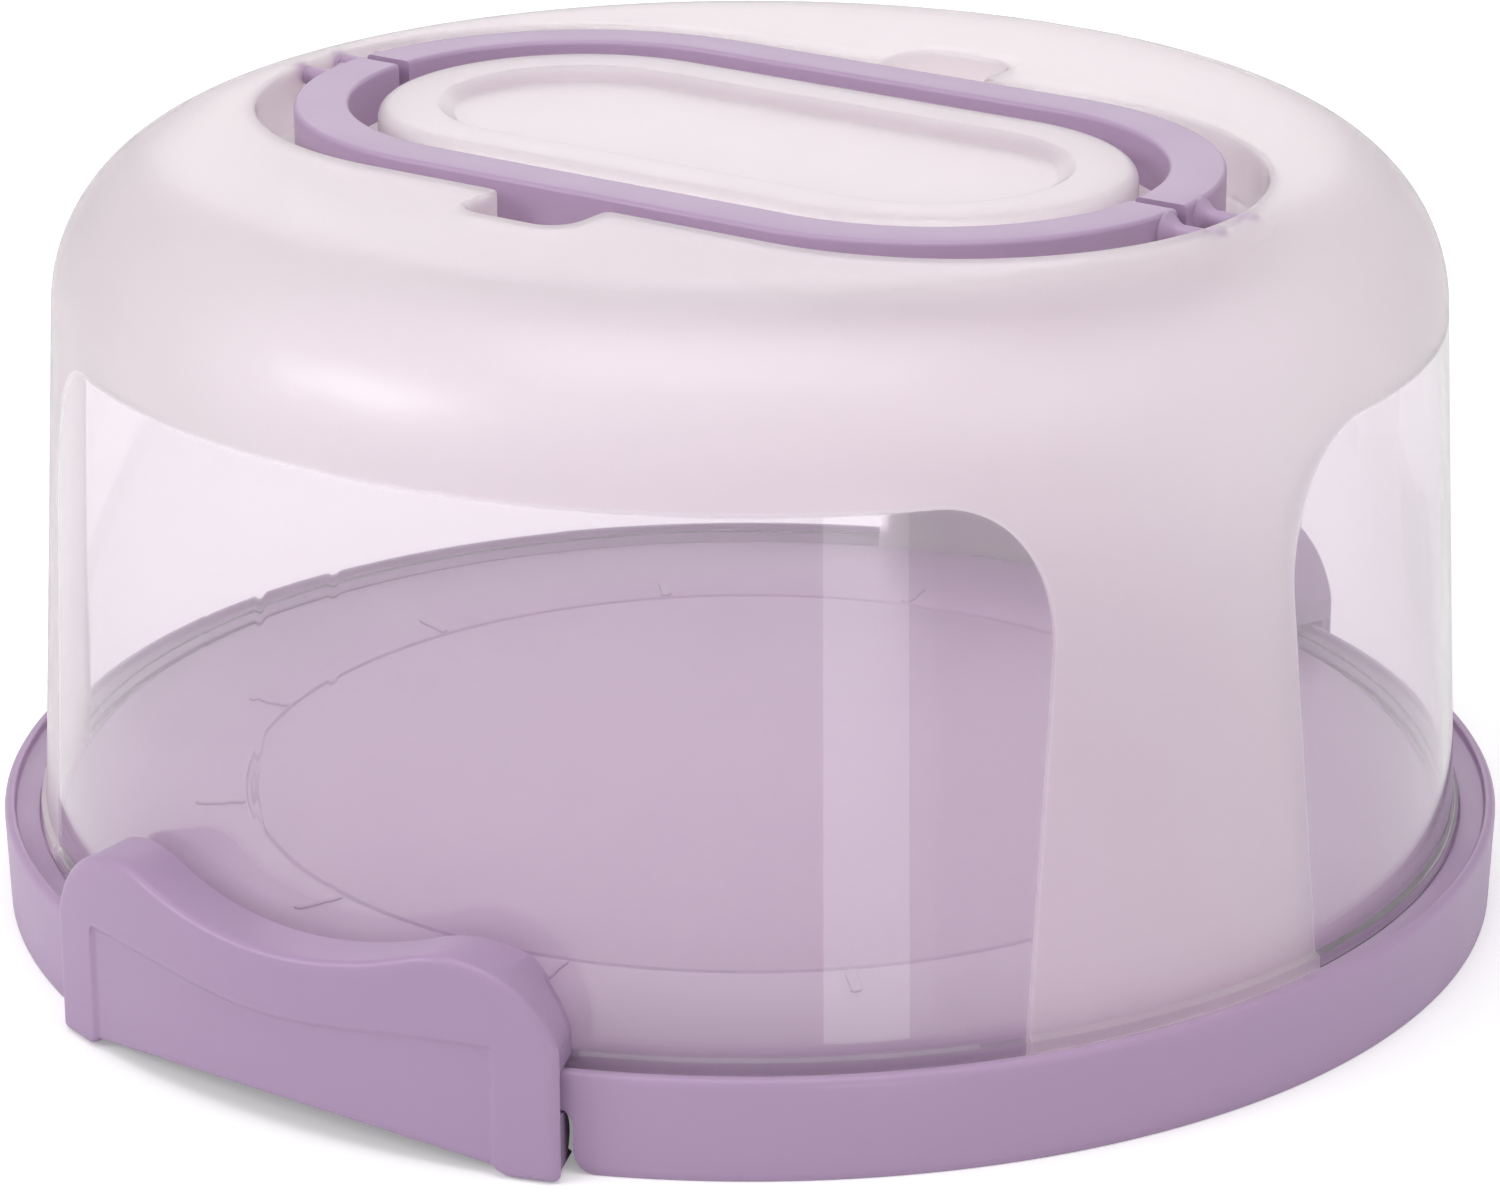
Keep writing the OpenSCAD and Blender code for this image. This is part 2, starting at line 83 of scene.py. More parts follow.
# Clips: half width, face arc, walls, the wave's crests and dip, the lower arc, hooks and hinge
CLIP_HALF, FACE_R, FACE_Y, CLIP_WALL, SHELF = 62.0, 180.0, 164.3, 2.6, 2.4
CLIP_ROUND, CHEEK_X, NECK_Y = 1.6, 50, -150.1
CREST_X, CREST_Z, CREST_R, DIP_Z = 40.0, 43.8, 22.8, 37.0
ARCH_Z, ARCH_R, ARCH_END, ARCH_STEP = 6.4, 284, 49.0, 1.2
HOOK_Z, HOOK_R, HOOK_X = 21.9, 152.5, 57
HINGE_Y, HINGE_Z, HINGE_R, KNUCKLE = 149.0, 7.0, 2.5, 5.8
FACE_CY = FACE_R - FACE_Y
CHEEK_RUN = 5 / 12.3

# Photograph's camera: distance and target height in metres, angles in degrees, focal length in pixels
CAM_DIST, CAM_Z, CAM_ELEVATION, CAM_TURN = 1.100, 0.0592, 20.10, 34.8
FOCAL_PX, PHOTO_W, SENSOR_MM = 5139, 1500, 36

# Level of the white room light, and the extra glow that makes the floor white to the camera
SKY, FLOOR_GLOW = 0.55, 0.26


# Outlines and surfaces


def rounded(corners, steps=6):
    """An open outline through (a, b, radius) corners.

    Every corner with a radius is replaced by an arc that touches both of its sides:
    its centre lies on the bisector at radius over the sine of half the inner angle.
    """
    p = np.array([c[:2] for c in corners], float)
    out = [p[0]]
    for i in range(1, len(corners) - 1):
        r = corners[i][2]
        a, b = p[i - 1] - p[i], p[i + 1] - p[i]
        a, b = a / np.hypot(*a), b / np.hypot(*b)
        half = math.acos(np.clip(a @ b, -1, 1)) / 2
        if r <= 0 or half > 1.56:
            out.append(p[i])
            continue
        c = p[i] + (a + b) / np.hypot(*(a + b)) * r / math.sin(half)
        s, e = p[i] + a * r / math.tan(half) - c, p[i] + b * r / math.tan(half) - c
        t0 = math.atan2(s[1], s[0])
        turn = (math.atan2(e[1], e[0]) - t0 + math.pi) % (2 * math.pi) - math.pi
        t = t0 + turn * np.linspace(0, 1, steps + 1)
        out.extend(c + r * np.stack([np.cos(t), np.sin(t)], 1))
    out.append(p[-1])
    return np.array(out)


def arc(cx, cy, r, a0, a1, n):
    """n points on a circle's arc from angle a0 to a1, in degrees, both ends included."""
    t = np.radians(np.linspace(a0, a1, n))
    return np.stack([cx + r * np.cos(t), cy + r * np.sin(t)], 1)


def revolve(profile, n):
    """An (r, z) profile turned about Z: x = r cos t, y = r sin t on a grid of profile by angle."""
    t = np.radians(np.arange(n) * 360.0 / n)
    r, z = profile[:, :1], profile[:, 1:]
    return np.stack([r * np.cos(t), r * np.sin(t), z + 0 * t], -1)


def lifted(xy, z):
    """A plan curve of (x, y) points at height z, which may differ from point to point."""
    return np.concatenate([xy, np.broadcast_to(np.asarray(z, float), (len(xy),))[:, None]], 1)


def block(lo, hi, r=0.3):
    """A box with rounded upright edges, as a closed stack of one rounded rectangle."""
    (x0, y0, z0), (x1, y1, z1) = lo, hi
    xm = (x0 + x1) / 2
    plan = rounded([(xm, y0, 0), (x1, y0, r), (x1, y1, r), (x0, y1, r), (x0, y0, r), (xm, y0, 0)], 2)[:-1]
    mid = plan.mean(0)
    small = mid + (plan - mid) * 0.02
    return np.array([lifted(small, z0), lifted(plan, z0), lifted(plan, z1), lifted(small, z1)])


def turned(points, deg):
    """The points turned about Z by deg."""
    c, s = math.cos(math.radians(deg)), math.sin(math.radians(deg))
    out = points.copy()
    out[..., 0] = points[..., 0] * c - points[..., 1] * s
    out[..., 1] = points[..., 0] * s + points[..., 1] * c
    return out


def piece(name, grids, body, material, node, capped=(), sharp=35):
    """One mesh from several grids of points, rows by columns, each with a flag that closes its rows into rings.

    Quads join each point to its neighbours in the next row and column. The grids named in
    capped have their first and last rows closed by one flat face. Doubles are merged and the
    normals made to point outwards. The mesh rides the body and stands in for the node.
    """
    verts, faces, start = [], [], 0
    for k, (grid, wrap) in enumerate(grids):
        rows, cols = grid.shape[:2]
        i = np.arange(rows - 1)[:, None] * cols
        j = np.arange(cols if wrap else cols - 1)[None, :]
        n = (j + 1) % cols
        quads = np.stack([i + j, i + n, i + cols + n, i + cols + j], -1).reshape(-1, 4) + start
        faces.extend(quads.tolist())
        if k in capped:
            faces.append((start + np.arange(cols)[::-1]).tolist())
            faces.append((start + (rows - 1) * cols + np.arange(cols)).tolist())
        verts.append(grid.reshape(-1, 3))
        start += rows * cols
    mesh = bpy.data.meshes.new(name)
    mesh.from_pydata((np.concatenate(verts) * 0.001).tolist(), [], faces)
    bm = bmesh.new()
    bm.from_mesh(mesh)
    bmesh.ops.remove_doubles(bm, verts=bm.verts, dist=2e-6)
    bmesh.ops.recalc_face_normals(bm, faces=bm.faces)
    bm.to_mesh(mesh)
    bm.free()
    mesh.shade_smooth()
    mesh.set_sharp_from_angle(angle=math.radians(sharp))
    obj = bpy.data.objects.new(name, mesh)
    bpy.context.scene.collection.objects.link(obj)
    mesh.materials.append(material)
    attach(obj, body)
    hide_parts(node)


# Materials


def group(name, inputs, outputs):
    """An empty node group with named inputs (name, type, default) and outputs (name, type)."""
    g = bpy.data.node_groups.new(name, "ShaderNodeTree")
    for label, kind, value in inputs:
        s = g.interface.new_socket(name=label, in_out="INPUT", socket_type=kind)
        s.default_value = value
    for label, kind in outputs:
        g.interface.new_socket(name=label, in_out="OUTPUT", socket_type=kind)
    return g, g.nodes.new("NodeGroupInput"), g.nodes.new("NodeGroupOutput")


def maths(tree, op, *values, clamp=False):
    """A Math node whose inputs are sockets or plain numbers; returns its output."""
    n = tree.nodes.new("ShaderNodeMath")
    n.operation = op
    n.use_clamp = clamp
    for i, v in enumerate(values):
        if isinstance(v, (int, float)):
            n.inputs[i].default_value = v
        else:
            tree.links.new(v, n.inputs[i])
    return n.outputs[0]


def mixed(tree, fac, a, b):
    """A colour Mix node; fac is a socket, a and b are sockets or plain colours."""
    n = tree.nodes.new("ShaderNodeMix")
    n.data_type = "RGBA"
    for v, i in ((fac, 0), (a, 6), (b, 7)):
        if isinstance(v, tuple):
            n.inputs[i].default_value = (*v, 1)
        else:
            tree.links.new(v, n.inputs[i])
    return n.outputs[2]


def noise(tree, vector, scale, detail):
    """A Noise Texture at the vector; returns its value, 0.5 on average."""
    n = tree.nodes.new("ShaderNodeTexNoise")
    n.inputs["Scale"].default_value = scale
    n.inputs["Detail"].default_value = detail
    tree.links.new(vector, n.inputs["Vector"])
    return n.outputs["Fac"]


def moulded_group():
    """Moulded plastic: cloudy colour from slow flow in the mould, fine satin grain, faint scuffs."""
    g, gi, go = group(
        "moulded_plastic",
        [("Vector", "NodeSocketVector", (0, 0, 0)), ("Color", "NodeSocketColor", (0.5, 0.4, 0.55, 1)),
         ("Deep Color", "NodeSocketColor", (0.4, 0.3, 0.45, 1)), ("Roughness", "NodeSocketFloat", 0.35)],
        [("Color", "NodeSocketColor"), ("Roughness", "NodeSocketFloat"), ("Height", "NodeSocketFloat")],
    )
    v = gi.outputs["Vector"]
    cloud = noise(g, v, 9, 3)
    grain = noise(g, v, 900, 2)
    scuff = noise(g, v, 60, 4)
    share = maths(g, "MULTIPLY", cloud, 0.35)
    g.links.new(mixed(g, share, gi.outputs["Color"], gi.outputs["Deep Color"]), go.inputs["Color"])
    scuffed = maths(g, "MULTIPLY", maths(g, "SUBTRACT", scuff, 0.5), 0.12)
    g.links.new(maths(g, "ADD", gi.outputs["Roughness"], scuffed), go.inputs["Roughness"])
    g.links.new(maths(g, "ADD", grain, maths(g, "MULTIPLY", cloud, 0.5)), go.inputs["Height"])
    return g


def frost_group():
    """Frosted dome with three clear windows.

    The azimuth is folded into one third of a turn about each window's middle and measured in
    millimetres of arc. A point is clear where the length d of (q, t) is under 1: q and t grow
    from 0 at the start of the window's rounded upper corner to 1 at its side and top. Frost is
    the frosted part; the edge output is a thin line round each window, which the material lights as a painted
    highlight.
    """
    g, gi, go = group(
        "frosted_windows",
        [("Vector", "NodeSocketVector", (0, 0, 0)), ("Frost Color", "NodeSocketColor", (0.9, 0.9, 0.9, 1)),
         ("Clear Color", "NodeSocketColor", (1, 1, 1, 1)), ("Frost Roughness", "NodeSocketFloat", 0.5),
         ("Clear Roughness", "NodeSocketFloat", 0.02)],
        [("Color", "NodeSocketColor"), ("Roughness", "NodeSocketFloat"), ("Height", "NodeSocketFloat"),
         ("Frost", "NodeSocketFloat"), ("Painted Edge Line", "NodeSocketFloat")],
    )
    sep = g.nodes.new("ShaderNodeSeparateXYZ")
    g.links.new(gi.outputs["Vector"], sep.inputs[0])
    x, y, z = sep.outputs
    az = maths(g, "ARCTAN2", y, x)
    third = 2 * math.pi / 3
    turns = maths(g, "DIVIDE", maths(g, "SUBTRACT", az, math.radians(WINDOW_AZ - 360)), third)
    fold = maths(g, "ABSOLUTE", maths(g, "SUBTRACT", maths(g, "FRACT", maths(g, "ADD", turns, 3.5)), 0.5))
    side = maths(g, "MULTIPLY", fold, third * WINDOW_R)
    zmm = maths(g, "MULTIPLY", z, 1000)
    half = maths(g, "ADD", WINDOW_HALF, maths(g, "MULTIPLY", zmm, WINDOW_SPREAD))
    past = maths(g, "SUBTRACT", side, maths(g, "SUBTRACT", half, CORNER_W))
    q = maths(g, "MAXIMUM", maths(g, "DIVIDE", past, CORNER_W), 0)
    t = maths(g, "MAXIMUM", maths(g, "DIVIDE", maths(g, "SUBTRACT", zmm, CORNER_Z), CORNER_H), 0)
    d = maths(g, "SQRT", maths(g, "ADD", maths(g, "MULTIPLY", q, q), maths(g, "MULTIPLY", t, t)))
    frost = maths(g, "MULTIPLY", maths(g, "SUBTRACT", d, 0.985), 30, clamp=True)
    grain = noise(g, gi.outputs["Vector"], 700, 2)
    g.links.new(mixed(g, frost, gi.outputs["Clear Color"], gi.outputs["Frost Color"]), go.inputs["Color"])
    span = maths(g, "SUBTRACT", gi.outputs["Frost Roughness"], gi.outputs["Clear Roughness"])
    rough = maths(g, "ADD", gi.outputs["Clear Roughness"], maths(g, "MULTIPLY", span, frost))
    g.links.new(rough, go.inputs["Roughness"])
    g.links.new(maths(g, "MULTIPLY", grain, frost), go.inputs["Height"])
    g.links.new(frost, go.inputs["Frost"])
    # a thin line round each window's border, used as a painted highlight line
    off = maths(g, "ABSOLUTE", maths(g, "SUBTRACT", d, 1.012))
    line = maths(g, "SUBTRACT", 1, maths(g, "MULTIPLY", off, 70), clamp=True)
    g.links.new(line, go.inputs["Painted Edge Line"])
    return g


MOULDED = moulded_group()
FROSTED = frost_group()


def shader(name):
    """A new material with its Principled shader, Texture Coordinate and Bump nodes."""
    m = bpy.data.materials.new(name)
    m.use_nodes = True
    t = m.node_tree
    p = t.nodes["Principled BSDF"]
    co = t.nodes.new("ShaderNodeTexCoord")
    bump = t.nodes.new("ShaderNodeBump")
    t.links.new(bump.outputs["Normal"], p.inputs["Normal"])
    return m, t, p, co.outputs["Object"], bump


def lilac(name, color, deep, rough):
    """Satin lilac plastic: the moulded group's colour, roughness and grain, and a little light inside."""
    m, t, p, co, bump = shader(name)
    n = t.nodes.new("ShaderNodeGroup")
    n.node_tree = MOULDED
    n.inputs["Color"].default_value = (*color, 1)
    n.inputs["Deep Color"].default_value = (*deep, 1)
    n.inputs["Roughness"].default_value = rough
    t.links.new(co, n.inputs["Vector"])
    t.links.new(n.outputs["Color"], p.inputs["Base Color"])
    t.links.new(n.outputs["Roughness"], p.inputs["Roughness"])
    t.links.new(n.outputs["Height"], bump.inputs["Height"])
    bump.inputs["Strength"].default_value = 0.06
    bump.inputs["Distance"].default_value = 0.0002
    p.inputs["IOR"].default_value = 1.5
    p.inputs["Subsurface Weight"].default_value = 0.12
    p.inputs["Subsurface Radius"].default_value = (0.006, 0.005, 0.006)
    p.inputs["Subsurface Scale"].default_value = 1.0
    return m


def dome_material():
    """Frosted plastic with clear windows.

    The faint emission on the frosted part is painted glow, standing in for light scattered in the plastic;
    the thin line round each window glows brighter as a painted highlight; the coat gives the frosted part its
    soft gloss.
    """
    m, t, p, co, bump = shader("frosted_dome")
    n = t.nodes.new("ShaderNodeGroup")
    n.node_tree = FROSTED
    n.inputs["Frost Color"].default_value = (0.966, 0.902, 0.928, 1)
    n.inputs["Clear Color"].default_value = (0.975, 0.93, 0.97, 1)
    n.inputs["Frost Roughness"].default_value = 0.5
    n.inputs["Clear Roughness"].default_value = 0.015
    t.links.new(co, n.inputs["Vector"])
    t.links.new(n.outputs["Color"], p.inputs["Base Color"])
    t.links.new(n.outputs["Roughness"], p.inputs["Roughness"])
    t.links.new(n.outputs["Height"], bump.inputs["Height"])
    bump.inputs["Strength"].default_value = 0.05
    bump.inputs["Distance"].default_value = 0.0002
    p.inputs["IOR"].default_value = 1.45
    p.inputs["Transmission Weight"].default_value = 0.9
    # painted glow: the frosted part emits a faint pinkish white light, though it is no lamp
    glow = mixed(t, n.outputs["Frost"], (0, 0, 0), (1.0, 0.93, 0.965))
    # painted highlight: a bright emitted line round each window's border
    glow = mixed(t, n.outputs["Painted Edge Line"], glow, (3.0, 2.8, 2.9))
    t.links.new(glow, p.inputs["Emission Color"])
    t.links.new(maths(t, "MULTIPLY", n.outputs["Frost"], 0.45), p.inputs["Coat Weight"])
    p.inputs["Coat Roughness"].default_value = 0.24
    p.inputs["Emission Strength"].default_value = 0.04
    return m


LILAC_TRAY = lilac("lilac_tray", (0.455, 0.318, 0.495), (0.42, 0.285, 0.46), 0.34)
LILAC_CLIP = lilac("lilac_clip", (0.43, 0.298, 0.475), (0.40, 0.27, 0.445), 0.33)
LILAC_HANDLE = lilac("lilac_handle", (0.45, 0.325, 0.485), (0.42, 0.29, 0.455), 0.36)
FROSTED_DOME = dome_material()


# Dome lid


def dome_height(r, inset=0.0):
    """Height of the dome's top at distance r from the axis: flat, then the shoulder's arc."""
    rad = SHOULDER - inset
    over = np.clip(r - SH_R, 0, rad * 0.999)
    return np.where(r <= SH_R, LID_TOP - inset, SH_Z + np.sqrt(rad * rad - over * over))


def notch_side(g):
    """The trough's long front side with its finger notch, moved outwards by g, from -X to +X.

    Straight runs at y = -(trough radius + g), small arcs into the notch, its two straight
    sides, and corner arcs of the notch radius plus g at its far end.
    """
    y, c = -(TROUGH_R + g), -NOTCH_SHIFT
    w, far, rho, cr = NOTCH_HALF + g, NOTCH_Y + g, 2.0 - g, NOTCH_R + g
    left = np.stack([np.linspace(-TROUGH_HALF, c - NOTCH_HALF - 2.0, 22)[:-1], np.full(21, y)], 1)
    inner = arc(c - w - rho, y - rho, rho, 90, 0, 7)
    corner = arc(c - w + cr, -far + cr, cr, 180, 270, 9)
    half = np.concatenate([left, inner, corner])
    mirror = half[::-1].copy()
    mirror[:, 0] = 2 * c - mirror[:, 0]
    steps = np.linspace(0, 1, 23)[1:, None]
    end = mirror[len(mirror) - len(left) - 1]
    right = end + steps * (np.array([TROUGH_HALF, y]) - end)
    return np.concatenate([half, mirror[: len(mirror) - len(left)], right])


SIDE0 = notch_side(0.0)[:, 0]
SHARE = (0.8 * SIDE0 + 0.2 * np.linspace(-TROUGH_HALF, TROUGH_HALF, len(SIDE0))) / TROUGH_HALF
END = np.linspace(-90, 90, 98)[1:-1]


def both(half):
    """A half outline and the same half turned by 180 degrees, as one closed ring."""
    return np.concatenate([half, -half])


def oval(half_len, r):
    """A straight-sided oval with the same point count as the trough's edge."""
    side = np.stack([SHARE * half_len, np.full(len(SHARE), -r)], 1)
    t = np.radians(END)
    end = np.stack([half_len + r * np.cos(t), r * np.sin(t)], 1)
    return both(np.concatenate([side, end]))


def edge(g):
    """The trough's edge moved outwards by g, notches included."""
    t = np.radians(END)
    r = TROUGH_R + g
    end = np.stack([TROUGH_HALF + r * np.cos(t), r * np.sin(t)], 1)
    return both(np.concatenate([notch_side(g), end]))


def circle(r):
    """A circle whose points face those of the trough's edge."""
    a = np.concatenate([-90 + SHARE * 29.35, END * 60.65 / 90])
    t = np.radians(a)
    return both(np.stack([r * np.cos(t), r * np.sin(t)], 1))


def between(a, b, n):
    """A list of n plan curves evenly between a and b, ends left out."""
    return [a + (b - a) * k / (n + 1) for k in range(1, n + 1)]


def dome_rings():
    """Rings from the island's middle over the top, down the wall, round the foot and back inside."""
    rings = []
    top = rounded([(4, RECESS_Z, 0), (RECESS_R - 2.4, RECESS_Z, 1.8), (RECESS_R + 1.2, ISLAND_TOP, 1.2),
                   (ISLAND_R, ISLAND_TOP, 3.0), (ISLAND_R, TROUGH_Z, 1.2), (ISLAND_R + 2.0, TROUGH_Z, 0)])
    rings += [lifted(oval(ISLAND_HALF, r), z) for r, z in top]
    base = edge(-1.2)
    rings += [lifted(c, TROUGH_Z) for c in between(oval(ISLAND_HALF, ISLAND_R + 2), base, 3)]
    for a in np.radians([0, 22, 45, 68, 90]):
        rings.append(lifted(edge(-1.2 * (1 - math.sin(a))), TROUGH_Z + 1.2 * (1 - math.cos(a))))
    for k in (0.3, 0.6, 0.85):
        c = edge(0)
        rings.append(lifted(c, TROUGH_Z + 1.2 + k * (dome_height(np.hypot(*c.T)) - 0.9 - TROUGH_Z - 1.2)))
    for a in np.radians([0, 22, 45, 68, 90]):
        c = edge(0.9 * (1 - math.cos(a)))
        rings.append(lifted(c, dome_height(np.hypot(*c.T)) - 0.9 * (1 - math.sin(a))))
    for c in between(edge(0.9), circle(TOP_R), 5):
        rings.append(lifted(c, dome_height(np.hypot(*c.T))))
    start = math.degrees(math.acos((TOP_R - SH_R) / SHOULDER))
    low = math.degrees(DRAFT)
    shoulder = arc(SH_R, SH_Z, SHOULDER, start, low, 30)
    z = np.linspace(shoulder[-1, 1], 22.8, 16)[1:]
    wall = np.stack([LID_R - (z - 22) * math.tan(DRAFT), z], 1)
    foot = rounded([wall[-1], (LID_R, 22.0, 0.4), (BEAD_R, 21.2, 0.5), (BEAD_R, FOOT_Z, 0.7),
                    (149.4, FOOT_Z, 0.4), (149.1, 22.0, 0), (149.07, 22.4)])
    inner_wall = wall[::-1] - [LID_WALL / math.cos(DRAFT), 0]
    inner = arc(SH_R, SH_Z, SHOULDER - LID_WALL, low, 78, 24)
    profile = np.concatenate([shoulder, wall, foot[1:], inner_wall, inner])
    rings += [lifted(circle(r), h) for r, h in profile]
    t = TROUGH_WALL
    for c in between(circle(inner[-1, 0]), edge(t), 4) + [edge(t)]:
        rings.append(lifted(c, dome_height(np.hypot(*c.T), LID_WALL)))
    low = TROUGH_Z - t
    rings += [lifted(edge(t), TROUGH_Z + 5), lifted(edge(t), low + 0.8), lifted(edge(t - 0.8), low)]
    under = rounded([(ISLAND_R + 2, low, 0), (ISLAND_R - t, low, 0.8),
                     (ISLAND_R - t, ISLAND_TOP - t, 1.6), (RECESS_R + 1.6, ISLAND_TOP - t, 0.8),
                     (RECESS_R - 1.2, RECESS_Z - t, 0.8), (4, RECESS_Z - t, 0)], 4)
    rings += [lifted(c, low) for c in between(edge(t - 0.8), oval(ISLAND_HALF, ISLAND_R + 2), 3)]
    rings += [lifted(oval(ISLAND_HALF, r), h) for r, h in under]
    return np.array(rings)


def dome_extras():
    """The four rests under the folded handle and the four pivot bosses under the top."""
    out = []
    x0 = TROUGH_HALF + math.sqrt(TROUGH_R**2 - PIVOT_Y**2)
    for s in (-1, 1):
        for y in (-PIVOT_Y, PIVOT_Y):
            lo, hi = sorted((s * (x0 + 1.4), s * (x0 + 7.2)))
            out.append((block((lo, y - 4, PIVOT_Z - 4.2), (hi, y + 4, PIVOT_Z - 1.0)), True))
    for x in (-30, 30):
        for s in (-1, 1):
            y = s * (HANDLE_R - HANDLE_W / 2)
            out.append((block((x - 3, y - 2, TROUGH_Z + 0.02), (x + 3, y + 2, HANDLE_Z - 0.3)), True))
    return out


lid_rings = dome_rings()
lid_parts = [(lid_rings, True), *dome_extras()]
piece("dome_lid_shell", lid_parts, "lid", FROSTED_DOME, "dome_lid", capped=range(len(lid_parts)))


# Folding handle


def handle_half():
    """The half ring: a rounded section with a hollow underside, carried along half an oval.

    Along the path a point at radius r from the oval's middle line lies on the straight side or
    on an end arc; the last arc stops where the plane of the gap cuts that radius. The hollow is
    there only in front of HOLLOW_Y; behind it the section's inner points lie at its foot. Two
    steps of the left arc lie close together, which makes the hollow's end a clean wall.
    """
    w, h, t = HANDLE_W / 2, HANDLE_TOP - HANDLE_Z, 2.4
    well = [(0, h - t), (-w + t + 0.6, h - t), (-w + t, h - t - 0.6), (-w + t - 0.1, 0.25), (-w + t - 0.4, 0)]
    shell = rounded([(-w + t - 0.4, 0, 0), (-w, 0, 0.5), (-w, h, 1.0), (w, h, 1.0), (w, 0, 0.5),
                     (w - t + 0.4, 0, 0)], 5)
    outer = np.concatenate([well[:-1], shell, [(-g, z) for g, z in well[::-1][1:-1]]])
    steps = len(well) - 1
    t_left = np.sort(np.concatenate([np.linspace(0, 1, 59), [0.183, 0.1835]]))
    t_right = 1 - t_left[::-1]
    side = np.linspace(-1, 1, 31)[1:-1]
    rows = []
    mid = HANDLE_R - w
    for k, (g, z) in enumerate(outer):
        r = mid + g
        a = np.radians(180 + 90 * t_left)
        left = np.stack([-HANDLE_HALF + r * np.cos(a), r * np.sin(a)], 1)
        front = np.stack([side * HANDLE_HALF, np.full(len(side), -r)], 1)
        a = -math.pi / 2 + t_right * (math.pi / 2 - math.asin(HANDLE_GAP / r))
        right = np.stack([HANDLE_HALF + r * np.cos(a), r * np.sin(a)], 1)
        plan = np.concatenate([left, front, right])
        inside = k < steps or k >= steps + len(shell)
        open_part = (plan[:, 1] < HOLLOW_Y) if inside else np.ones(len(plan), bool)
        rows.append(lifted(plan, HANDLE_Z + np.where(open_part, z, 0.0)))
    return np.array(rows).transpose(1, 0, 2)


def handle_ribs():
    """Thin cross ribs in the hollow: five across the straight part, one in each bend."""
    out = []
    for x in (-64, -44, -22, 0, 22, 44, 64):
        over = max(abs(x) - HANDLE_HALF, 0)
        far = math.sqrt((HANDLE_R - 2.0) ** 2 - over**2)
        near = math.sqrt((HANDLE_R - HANDLE_W + 2.0) ** 2 - over**2)
        out.append((block((x - 0.8, -far, HANDLE_Z + 0.05), (x + 0.8, -near, HANDLE_TOP - 2.3), 0.1), True))
    return out


def pivots(y):
    """Pins along X: a cone at the ring, then the round pin, closed by a small chamfer."""
    out = []
    x0 = HANDLE_HALF + math.sqrt(HANDLE_R**2 - PIVOT_Y**2)
    end = TROUGH_HALF + math.sqrt(TROUGH_R**2 - PIVOT_Y**2) + 3.2
    prof = np.array([(0.05, x0 - 1.5), (4.0, x0 - 1.5), (4.0, x0 + 0.1), (3.4, x0 + 0.9), (2.5, x0 + 2.0),
                     (PIVOT_R, x0 + 3.2), (PIVOT_R, end - 0.4), (PIVOT_R - 0.4, end), (0.05, end)])
    for s in (-1, 1):
        g = revolve(prof, 32)
        p = np.stack([s * g[..., 2], y + g[..., 0], PIVOT_Z + g[..., 1]], -1)
        out.append((p, True))
    return out


half_ring = handle_half()
front_parts = [(half_ring, True), *pivots(-PIVOT_Y), *handle_ribs()]
rear_parts = [(turned(g, 180), w) for g, w in front_parts]
piece("handle_half_front", front_parts, "handle_a", LILAC_HANDLE, "handle_front",
      capped=range(len(front_parts)))
piece("handle_half_rear", rear_parts, "handle_b", LILAC_HANDLE, "handle_rear",
      capped=range(len(rear_parts)))


# Base tray


def skirt_edge():
    """Azimuth in radians and height of the skirt's lower edge, once round the tray.

    From the middle of the front bay: level at the bay's height, a convex arc, straight down, a
    concave arc of the corner radius, then level on the table for the rest of the quarter. The
    other three quarters are the same, mirrored and turned.
    """
    k = math.radians(1) * BASE_R
    s = BAY_DEG * k
    top = np.stack([np.linspace(0, s - 3, 30)[:-1], np.full(29, BAY_Z)], 1)
    bend = arc(s - 3, BAY_Z - 3, 3, 90, 0, 7)
    corner = arc(s + BAY_CORNER, BAY_CORNER, BAY_CORNER, 180, 270, 9)
    flat = np.stack([np.linspace(s + BAY_CORNER, 90 * k, 90)[1:], np.zeros(89)], 1)
    quarter = np.concatenate([top, bend, corner, flat])
    quarter[:, 0] /= k
    quarter[:, 0] += np.arange(len(quarter)) * 1e-4
    quarter[:, 0] *= 90 / quarter[-1, 0]
    back = quarter[:-1][::-1].copy()
    back[:, 0] = 180 - back[:, 0]
    half = np.concatenate([quarter, back])[:-1]
    az = np.concatenate([half[:, 0], half[:, 0] + 180]) - 90
    return np.radians(az), np.concatenate([half[:, 1], half[:, 1]])


